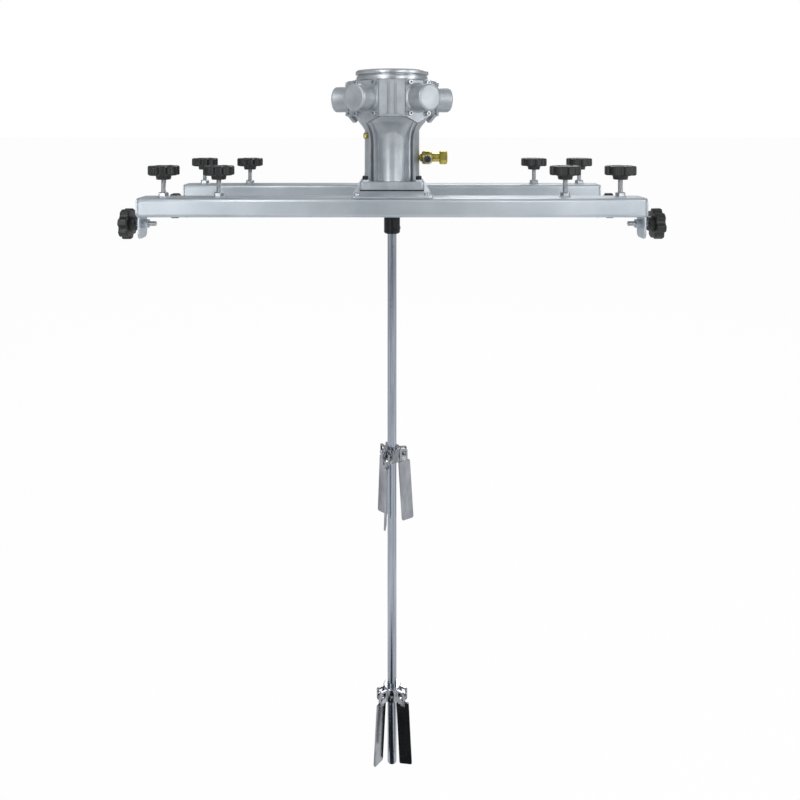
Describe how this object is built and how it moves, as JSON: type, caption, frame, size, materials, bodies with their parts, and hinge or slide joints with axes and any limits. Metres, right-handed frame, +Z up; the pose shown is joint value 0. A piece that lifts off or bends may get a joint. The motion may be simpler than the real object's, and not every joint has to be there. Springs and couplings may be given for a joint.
{
  "type": "tank agitator",
  "caption": "Air-driven tank mixer: radial piston motor on two rails with telescoping clamp arms, long shaft and folding impellers.",
  "frame": {"origin": "on the mixer shaft's axis, in the plane of the rails' undersides, where they rest on the tank's cage", "axes": "+X along the rails to the right, -Y towards the front rail, +Z up along the shaft"},
  "size_m": [0.8596, 0.29, 1.2225],
  "materials": {
    "painted_silver": "silver paint, satin",
    "cast_aluminium": "fine cast surface, silver",
    "steel": "machined",
    "stainless": "drawn and polished stainless",
    "zinc_screw": "zinc plated",
    "black_screw": "black oxide",
    "black_plastic": "fine grained black",
    "brass": "bright, slightly green",
    "seal_rubber": "black",
    "piston_alloy": "machined"
  },
  "bodies": {
    "frame": {"front_rail": "painted_silver", "rear_rail": "painted_silver", "rail_nuts": "zinc_screw", "motor_plate": "painted_silver", "plate_bolts": "zinc_screw", "gasket": "seal_rubber", "motor_housing": "cast_aluminium", "cylinder_heads": "cast_aluminium", "head_screws": "zinc_screw", "top_cover": "cast_aluminium", "flange_bolts": "black_screw", "pistons": "piston_alloy", "connecting_rods": "steel", "bearings": "steel", "shaft_seal": "seal_rubber", "valve_body": "brass", "hose_nut": "brass", "side_plug": "brass"},
    "drive": {"crankshaft": "steel", "coupling": "black_screw", "set_screws": "black_screw", "mixer_shaft": "stainless", "upper_hub": "stainless", "lower_hub": "stainless", "blade_pins": "stainless"},
    "valve_knob": {"valve_knob": "black_plastic"},
    "upper_blade_1": {"upper_blade_1": "stainless"},
    "upper_blade_2": {"upper_blade_2": "stainless"},
    "upper_blade_3": {"upper_blade_3": "stainless"},
    "lower_blade_1": {"lower_blade_1": "stainless"},
    "lower_blade_2": {"lower_blade_2": "stainless"},
    "lower_blade_3": {"lower_blade_3": "stainless"},
    "front_left_arm": {"front_left_arm": "painted_silver"},
    "front_left_clamp_screw": {"front_left_clamp_screw": "zinc_screw"},
    "front_left_clamp_knob": {"front_left_clamp_knob": "black_plastic"},
    "front_right_arm": {"front_right_arm": "painted_silver"},
    "front_right_clamp_screw": {"front_right_clamp_screw": "zinc_screw"},
    "front_right_clamp_knob": {"front_right_clamp_knob": "black_plastic"},
    "front_far_left_lock_stud": {"front_far_left_lock_stud": "zinc_screw"},
    "front_far_left_lock_knob": {"front_far_left_lock_knob": "black_plastic"},
    "front_left_lock_stud": {"front_left_lock_stud": "zinc_screw"},
    "front_left_lock_knob": {"front_left_lock_knob": "black_plastic"},
    "front_right_lock_stud": {"front_right_lock_stud": "zinc_screw"},
    "front_right_lock_knob": {"front_right_lock_knob": "black_plastic"},
    "front_far_right_lock_stud": {"front_far_right_lock_stud": "zinc_screw"},
    "front_far_right_lock_knob": {"front_far_right_lock_knob": "black_plastic"},
    "rear_left_arm": {"rear_left_arm": "painted_silver"},
    "rear_left_clamp_screw": {"rear_left_clamp_screw": "zinc_screw"},
    "rear_left_clamp_knob": {"rear_left_clamp_knob": "black_plastic"},
    "rear_right_arm": {"rear_right_arm": "painted_silver"},
    "rear_right_clamp_screw": {"rear_right_clamp_screw": "zinc_screw"},
    "rear_right_clamp_knob": {"rear_right_clamp_knob": "black_plastic"},
    "rear_far_left_lock_stud": {"rear_far_left_lock_stud": "zinc_screw"},
    "rear_far_left_lock_knob": {"rear_far_left_lock_knob": "black_plastic"},
    "rear_left_lock_stud": {"rear_left_lock_stud": "zinc_screw"},
    "rear_left_lock_knob": {"rear_left_lock_knob": "black_plastic"},
    "rear_right_lock_stud": {"rear_right_lock_stud": "zinc_screw"},
    "rear_right_lock_knob": {"rear_right_lock_knob": "black_plastic"},
    "rear_far_right_lock_stud": {"rear_far_right_lock_stud": "zinc_screw"},
    "rear_far_right_lock_knob": {"rear_far_right_lock_knob": "black_plastic"}
  },
  "joints": [
    {"name": "shaft_spin", "type": "hinge", "parent": "frame", "child": "drive", "pos_m": [0, 0, 0], "axis": [0, 0, 1], "continuous": true},
    {"name": "valve_turn", "type": "hinge", "parent": "frame", "child": "valve_knob", "pos_m": [0.062, 0, 0.085], "axis": [0, -1, 0], "range_deg": [0, 90]},
    {"name": "upper_blade_1_fold", "type": "hinge", "parent": "drive", "child": "upper_blade_1", "pos_m": [0.02092, 0.00183, -0.442], "axis": [0.0872, -0.9962, 0], "range_deg": [0, 86]},
    {"name": "upper_blade_2_fold", "type": "hinge", "parent": "drive", "child": "upper_blade_2", "pos_m": [-0.01205, 0.0172, -0.442], "axis": [0.8192, 0.5736, 0], "range_deg": [0, 86]},
    {"name": "upper_blade_3_fold", "type": "hinge", "parent": "drive", "child": "upper_blade_3", "pos_m": [-0.00887, -0.01903, -0.442], "axis": [-0.9063, 0.4226, 0], "range_deg": [0, 86]},
    {"name": "lower_blade_1_fold", "type": "hinge", "parent": "drive", "child": "lower_blade_1", "pos_m": [0.01819, -0.0105, -0.861], "axis": [-0.5, -0.866, 0], "range_deg": [0, 86]},
    {"name": "lower_blade_2_fold", "type": "hinge", "parent": "drive", "child": "lower_blade_2", "pos_m": [0, 0.021, -0.861], "axis": [1, 0, 0], "range_deg": [0, 86]},
    {"name": "lower_blade_3_fold", "type": "hinge", "parent": "drive", "child": "lower_blade_3", "pos_m": [-0.01819, -0.0105, -0.861], "axis": [-0.5, 0.866, 0], "range_deg": [0, 86]},
    {"name": "front_left_arm_slide", "type": "slide", "parent": "frame", "child": "front_left_arm", "axis": [-1, 0, 0], "range_m": [0, 0.19]},
    {"name": "front_left_clamp_feed", "type": "slide", "parent": "front_left_arm", "child": "front_left_clamp_screw", "axis": [-1, 0, 0], "range_m": [-0.0076, 0.0101]},
    {"name": "front_left_clamp_turn", "type": "hinge", "parent": "front_left_clamp_screw", "child": "front_left_clamp_knob", "pos_m": [-0.408, -0.12, -0.0126], "axis": [-1, 0, 0], "range_deg": [-2160, 2880]},
    {"name": "front_right_arm_slide", "type": "slide", "parent": "frame", "child": "front_right_arm", "axis": [1, 0, 0], "range_m": [0, 0.19]},
    {"name": "front_right_clamp_feed", "type": "slide", "parent": "front_right_arm", "child": "front_right_clamp_screw", "axis": [1, 0, 0], "range_m": [-0.0076, 0.0101]},
    {"name": "front_right_clamp_turn", "type": "hinge", "parent": "front_right_clamp_screw", "child": "front_right_clamp_knob", "pos_m": [0.408, -0.12, -0.0126], "axis": [1, 0, 0], "range_deg": [-2160, 2880]},
    {"name": "front_far_left_lock_feed", "type": "slide", "parent": "frame", "child": "front_far_left_lock_stud", "axis": [0, 0, 1], "range_m": [0, 0.0061]},
    {"name": "front_far_left_lock_turn", "type": "hinge", "parent": "front_far_left_lock_stud", "child": "front_far_left_lock_knob", "pos_m": [-0.3647, -0.12, 0.058], "axis": [0, 0, 1], "range_deg": [0, 1728]},
    {"name": "front_left_lock_feed", "type": "slide", "parent": "frame", "child": "front_left_lock_stud", "axis": [0, 0, 1], "range_m": [0, 0.0061]},
    {"name": "front_left_lock_turn", "type": "hinge", "parent": "front_left_lock_stud", "child": "front_left_lock_knob", "pos_m": [-0.2766, -0.12, 0.058], "axis": [0, 0, 1], "range_deg": [0, 1728]},
    {"name": "front_right_lock_feed", "type": "slide", "parent": "frame", "child": "front_right_lock_stud", "axis": [0, 0, 1], "range_m": [0, 0.0061]},
    {"name": "front_right_lock_turn", "type": "hinge", "parent": "front_right_lock_stud", "child": "front_right_lock_knob", "pos_m": [0.2766, -0.12, 0.058], "axis": [0, 0, 1], "range_deg": [0, 1728]},
    {"name": "front_far_right_lock_feed", "type": "slide", "parent": "frame", "child": "front_far_right_lock_stud", "axis": [0, 0, 1], "range_m": [0, 0.0061]},
    {"name": "front_far_right_lock_turn", "type": "hinge", "parent": "front_far_right_lock_stud", "child": "front_far_right_lock_knob", "pos_m": [0.3647, -0.12, 0.058], "axis": [0, 0, 1], "range_deg": [0, 1728]},
    {"name": "rear_left_arm_slide", "type": "slide", "parent": "frame", "child": "rear_left_arm", "axis": [-1, 0, 0], "range_m": [0, 0.19]},
    {"name": "rear_left_clamp_feed", "type": "slide", "parent": "rear_left_arm", "child": "rear_left_clamp_screw", "axis": [-1, 0, 0], "range_m": [-0.0076, 0.0101]},
    {"name": "rear_left_clamp_turn", "type": "hinge", "parent": "rear_left_clamp_screw", "child": "rear_left_clamp_knob", "pos_m": [-0.408, 0.12, -0.0126], "axis": [-1, 0, 0], "range_deg": [-2160, 2880]},
    {"name": "rear_right_arm_slide", "type": "slide", "parent": "frame", "child": "rear_right_arm", "axis": [1, 0, 0], "range_m": [0, 0.19]},
    {"name": "rear_right_clamp_feed", "type": "slide", "parent": "rear_right_arm", "child": "rear_right_clamp_screw", "axis": [1, 0, 0], "range_m": [-0.0076, 0.0101]},
    {"name": "rear_right_clamp_turn", "type": "hinge", "parent": "rear_right_clamp_screw", "child": "rear_right_clamp_knob", "pos_m": [0.408, 0.12, -0.0126], "axis": [1, 0, 0], "range_deg": [-2160, 2880]},
    {"name": "rear_far_left_lock_feed", "type": "slide", "parent": "frame", "child": "rear_far_left_lock_stud", "axis": [0, 0, 1], "range_m": [0, 0.0061]},
    {"name": "rear_far_left_lock_turn", "type": "hinge", "parent": "rear_far_left_lock_stud", "child": "rear_far_left_lock_knob", "pos_m": [-0.3647, 0.12, 0.058], "axis": [0, 0, 1], "range_deg": [0, 1728]},
    {"name": "rear_left_lock_feed", "type": "slide", "parent": "frame", "child": "rear_left_lock_stud", "axis": [0, 0, 1], "range_m": [0, 0.0061]},
    {"name": "rear_left_lock_turn", "type": "hinge", "parent": "rear_left_lock_stud", "child": "rear_left_lock_knob", "pos_m": [-0.2766, 0.12, 0.058], "axis": [0, 0, 1], "range_deg": [0, 1728]},
    {"name": "rear_right_lock_feed", "type": "slide", "parent": "frame", "child": "rear_right_lock_stud", "axis": [0, 0, 1], "range_m": [0, 0.0061]},
    {"name": "rear_right_lock_turn", "type": "hinge", "parent": "rear_right_lock_stud", "child": "rear_right_lock_knob", "pos_m": [0.2766, 0.12, 0.058], "axis": [0, 0, 1], "range_deg": [0, 1728]},
    {"name": "rear_far_right_lock_feed", "type": "slide", "parent": "frame", "child": "rear_far_right_lock_stud", "axis": [0, 0, 1], "range_m": [0, 0.0061]},
    {"name": "rear_far_right_lock_turn", "type": "hinge", "parent": "rear_far_right_lock_stud", "child": "rear_far_right_lock_knob", "pos_m": [0.3647, 0.12, 0.058], "axis": [0, 0, 1], "range_deg": [0, 1728]}
  ],
  "couplings": [
    {"joint": "front_left_clamp_feed", "follows": "front_left_clamp_turn", "m_per_rad": 0.00019894},
    {"joint": "front_right_clamp_feed", "follows": "front_right_clamp_turn", "m_per_rad": 0.00019894},
    {"joint": "front_far_left_lock_feed", "follows": "front_far_left_lock_turn", "m_per_rad": 0.00019894},
    {"joint": "front_left_lock_feed", "follows": "front_left_lock_turn", "m_per_rad": 0.00019894},
    {"joint": "front_right_lock_feed", "follows": "front_right_lock_turn", "m_per_rad": 0.00019894},
    {"joint": "front_far_right_lock_feed", "follows": "front_far_right_lock_turn", "m_per_rad": 0.00019894},
    {"joint": "rear_left_clamp_feed", "follows": "rear_left_clamp_turn", "m_per_rad": 0.00019894},
    {"joint": "rear_right_clamp_feed", "follows": "rear_right_clamp_turn", "m_per_rad": 0.00019894},
    {"joint": "rear_far_left_lock_feed", "follows": "rear_far_left_lock_turn", "m_per_rad": 0.00019894},
    {"joint": "rear_left_lock_feed", "follows": "rear_left_lock_turn", "m_per_rad": 0.00019894},
    {"joint": "rear_right_lock_feed", "follows": "rear_right_lock_turn", "m_per_rad": 0.00019894},
    {"joint": "rear_far_right_lock_feed", "follows": "rear_far_right_lock_turn", "m_per_rad": 0.00019894}
  ]
}
